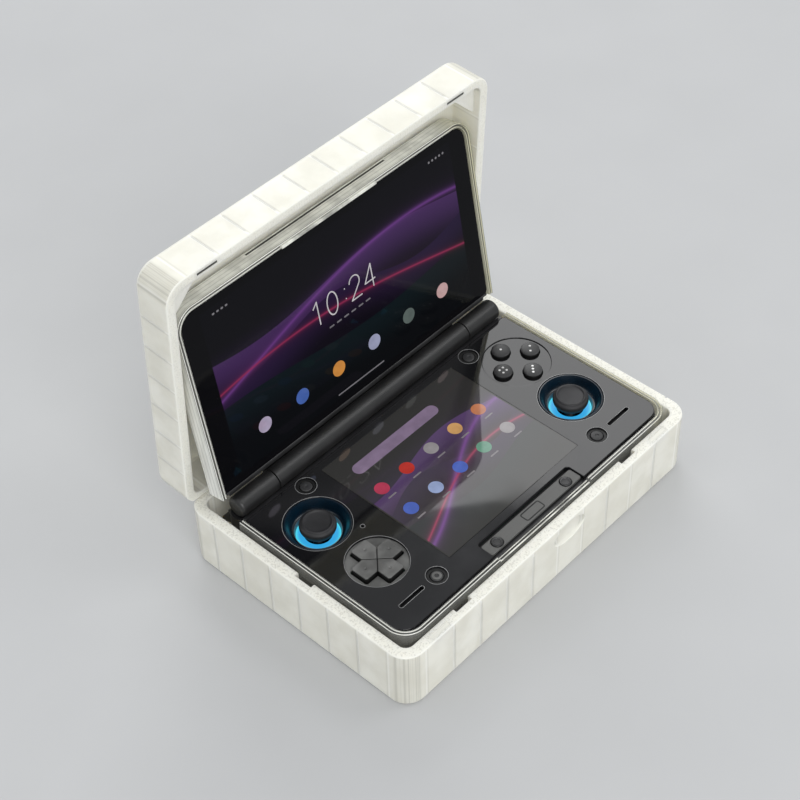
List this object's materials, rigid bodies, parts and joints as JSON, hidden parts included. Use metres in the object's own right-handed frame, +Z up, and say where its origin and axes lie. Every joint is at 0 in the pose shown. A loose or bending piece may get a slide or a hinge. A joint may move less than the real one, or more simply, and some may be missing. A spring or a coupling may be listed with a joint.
{
  "type": "clamshell handheld game console in a carrying case",
  "caption": "Two-screen clamshell handheld game console with clear covers, thumb sticks and buttons, lying open in a hinged printed case.",
  "frame": {"origin": "centre of the case's flat underside", "axes": "+X along both hinges, to the right of someone who plays; +Y towards the hinges; +Z up"},
  "size_m": [0.1666, 0.1296, 0.1415],
  "materials": {
    "printed_case": "warm white printed plastic with fine layer lines",
    "clear_cover": "clear polished plastic",
    "gloss_black": "polished black",
    "matt_black": "fine matt black",
    "dark_rubber": "matt charcoal, slightly soft",
    "well_blue": "dark blue satin",
    "light_cyan": "frosted light guide, emissive",
    "grey_metal": "satin dark grey",
    "steel": "plain bright steel",
    "screen": "glossy display, emissive",
    "circuit_board": "green solder mask",
    "cell_wrap": "dark grey wrap"
  },
  "bodies": {
    "console_in_case": {"case_base": "printed_case", "case_hinge_pin_left": "steel", "case_hinge_pin_right": "steel", "base_magnet_left": "steel", "base_magnet_right": "steel", "lower_clear_shell": "clear_cover", "lower_housing": "matt_black", "face_plate": "gloss_black", "lower_display": "screen", "front_tab_plate": "grey_metal", "tab_pad_left": "dark_rubber", "tab_pad_right": "dark_rubber", "stick_left_housing": "well_blue", "stick_left_light": "light_cyan", "stick_right_housing": "well_blue", "stick_right_light": "light_cyan", "main_board": "circuit_board", "battery": "cell_wrap", "fan_housing": "matt_black", "speaker_left": "matt_black", "speaker_right": "matt_black", "usb_port": "steel", "headphone_jack": "matt_black", "card_slot": "steel", "hinge_knuckle_left": "matt_black", "hinge_knuckle_right": "matt_black", "hinge_pin_left": "steel", "hinge_pin_right": "steel"},
    "case_lid_body": {"case_lid": "printed_case", "lid_magnet_left": "steel", "lid_magnet_right": "steel"},
    "console_lid_body": {"hinge_barrel_center": "matt_black", "lid_rear_cover": "matt_black", "upper_display": "screen", "upper_glass": "gloss_black", "lid_clear_shell": "clear_cover"},
    "stick_left_rocker_body": {"stick_left_rocker": "grey_metal"},
    "stick_left_stem_body": {"stick_left_stem": "steel"},
    "stick_left_cap_body": {"stick_left_cap": "dark_rubber"},
    "stick_right_rocker_body": {"stick_right_rocker": "grey_metal"},
    "stick_right_stem_body": {"stick_right_stem": "steel"},
    "stick_right_cap_body": {"stick_right_cap": "dark_rubber"},
    "dpad_pivot_body": {"dpad_pivot": "grey_metal"},
    "dpad_body": {"dpad": "dark_rubber"},
    "face_button_top_body": {"face_button_top": "dark_rubber"},
    "face_button_right_body": {"face_button_right": "dark_rubber"},
    "face_button_bottom_body": {"face_button_bottom": "dark_rubber"},
    "face_button_left_body": {"face_button_left": "dark_rubber"},
    "round_button_rear_left_body": {"round_button_rear_left": "dark_rubber"},
    "round_button_rear_right_body": {"round_button_rear_right": "dark_rubber"},
    "round_button_front_left_body": {"round_button_front_left": "dark_rubber"},
    "round_button_front_right_body": {"round_button_front_right": "dark_rubber"},
    "power_button_body": {"power_button": "matt_black"},
    "volume_rocker_body": {"volume_rocker": "matt_black"},
    "bumper_left_body": {"bumper_left": "matt_black"},
    "bumper_right_body": {"bumper_right": "matt_black"},
    "trigger_left_body": {"trigger_left": "matt_black"},
    "trigger_right_body": {"trigger_right": "matt_black"},
    "fan_rotor_body": {"fan_rotor": "grey_metal"}
  },
  "joints": [
    {"name": "case_lid_hinge", "type": "hinge", "parent": "console_in_case", "child": "case_lid_body", "pos_m": [0, 0.0553, 0.02845], "axis": [-1, 0, 0], "range_deg": [-87, 4]},
    {"name": "console_lid_hinge", "type": "hinge", "parent": "console_in_case", "child": "console_lid_body", "pos_m": [0, 0.0382, 0.0324], "axis": [-1, 0, 0], "range_deg": [-100.5, 5]},
    {"name": "stick_left_tilt_x", "type": "hinge", "parent": "console_in_case", "child": "stick_left_rocker_body", "pos_m": [-0.05783, 0.01131, 0.0202], "axis": [1, 0, 0], "range_deg": [-10, 10], "stiffness_Nm_per_rad": 0.02},
    {"name": "stick_left_tilt_y", "type": "hinge", "parent": "stick_left_rocker_body", "child": "stick_left_stem_body", "pos_m": [-0.05783, 0.01131, 0.0202], "axis": [0, 1, 0], "range_deg": [-10, 10], "stiffness_Nm_per_rad": 0.02},
    {"name": "stick_left_press", "type": "slide", "parent": "stick_left_stem_body", "child": "stick_left_cap_body", "axis": [0, 0, -1], "range_m": [0, 0.0004], "stiffness_N_per_m": 3000},
    {"name": "stick_right_tilt_x", "type": "hinge", "parent": "console_in_case", "child": "stick_right_rocker_body", "pos_m": [0.0564, -0.01786, 0.0202], "axis": [1, 0, 0], "range_deg": [-10, 10], "stiffness_Nm_per_rad": 0.02},
    {"name": "stick_right_tilt_y", "type": "hinge", "parent": "stick_right_rocker_body", "child": "stick_right_stem_body", "pos_m": [0.0564, -0.01786, 0.0202], "axis": [0, 1, 0], "range_deg": [-10, 10], "stiffness_Nm_per_rad": 0.02},
    {"name": "stick_right_press", "type": "slide", "parent": "stick_right_stem_body", "child": "stick_right_cap_body", "axis": [0, 0, -1], "range_m": [0, 0.0004], "stiffness_N_per_m": 3000},
    {"name": "dpad_tilt_x", "type": "hinge", "parent": "console_in_case", "child": "dpad_pivot_body", "pos_m": [-0.0564, -0.01786, 0.0237], "axis": [1, 0, 0], "range_deg": [-3, 3], "stiffness_Nm_per_rad": 0.1},
    {"name": "dpad_tilt_y", "type": "hinge", "parent": "dpad_pivot_body", "child": "dpad_body", "pos_m": [-0.0564, -0.01786, 0.0237], "axis": [0, 1, 0], "range_deg": [-3, 3], "stiffness_Nm_per_rad": 0.1},
    {"name": "face_button_top_press", "type": "slide", "parent": "console_in_case", "child": "face_button_top_body", "axis": [0, 0, -1], "range_m": [0, 0.001], "stiffness_N_per_m": 500},
    {"name": "face_button_right_press", "type": "slide", "parent": "console_in_case", "child": "face_button_right_body", "axis": [0, 0, -1], "range_m": [0, 0.001], "stiffness_N_per_m": 500},
    {"name": "face_button_bottom_press", "type": "slide", "parent": "console_in_case", "child": "face_button_bottom_body", "axis": [0, 0, -1], "range_m": [0, 0.001], "stiffness_N_per_m": 500},
    {"name": "face_button_left_press", "type": "slide", "parent": "console_in_case", "child": "face_button_left_body", "axis": [0, 0, -1], "range_m": [0, 0.001], "stiffness_N_per_m": 500},
    {"name": "round_button_rear_left_press", "type": "slide", "parent": "console_in_case", "child": "round_button_rear_left_body", "axis": [0, 0, -1], "range_m": [0, 0.0006], "stiffness_N_per_m": 800},
    {"name": "round_button_rear_right_press", "type": "slide", "parent": "console_in_case", "child": "round_button_rear_right_body", "axis": [0, 0, -1], "range_m": [0, 0.0006], "stiffness_N_per_m": 800},
    {"name": "round_button_front_left_press", "type": "slide", "parent": "console_in_case", "child": "round_button_front_left_body", "axis": [0, 0, -1], "range_m": [0, 0.0006], "stiffness_N_per_m": 800},
    {"name": "round_button_front_right_press", "type": "slide", "parent": "console_in_case", "child": "round_button_front_right_body", "axis": [0, 0, -1], "range_m": [0, 0.0006], "stiffness_N_per_m": 800},
    {"name": "power_button_press", "type": "slide", "parent": "console_in_case", "child": "power_button_body", "axis": [1, 0, 0], "range_m": [0, 0.0005], "stiffness_N_per_m": 800},
    {"name": "volume_rocker_tilt", "type": "hinge", "parent": "console_in_case", "child": "volume_rocker_body", "pos_m": [-0.01897, 0.0401, 0.0186], "axis": [0, 0, 1], "range_deg": [-2, 2], "stiffness_Nm_per_rad": 0.1},
    {"name": "bumper_left_press", "type": "hinge", "parent": "console_in_case", "child": "bumper_left_body", "pos_m": [-0.0516, 0.04, 0.0236], "axis": [0, 0, 1], "range_deg": [0, 3], "stiffness_Nm_per_rad": 0.2},
    {"name": "bumper_right_press", "type": "hinge", "parent": "console_in_case", "child": "bumper_right_body", "pos_m": [0.0516, 0.04, 0.0236], "axis": [0, 0, -1], "range_deg": [0, 3], "stiffness_Nm_per_rad": 0.2},
    {"name": "trigger_left_pull", "type": "hinge", "parent": "console_in_case", "child": "trigger_left_body", "pos_m": [-0.0616, 0.0435, 0.0202], "axis": [-1, 0, 0], "range_deg": [0, 12], "stiffness_Nm_per_rad": 0.1},
    {"name": "trigger_right_pull", "type": "hinge", "parent": "console_in_case", "child": "trigger_right_body", "pos_m": [0.0616, 0.0435, 0.0202], "axis": [-1, 0, 0], "range_deg": [0, 12], "stiffness_Nm_per_rad": 0.1},
    {"name": "fan_spin", "type": "hinge", "parent": "console_in_case", "child": "fan_rotor_body", "pos_m": [0, 0.012, 0.018], "axis": [0, 0, 1], "continuous": true}
  ],
  "couplings": [
    {"joint": "console_lid_hinge", "follows": "case_lid_hinge", "ratio": 1.1494}
  ]
}
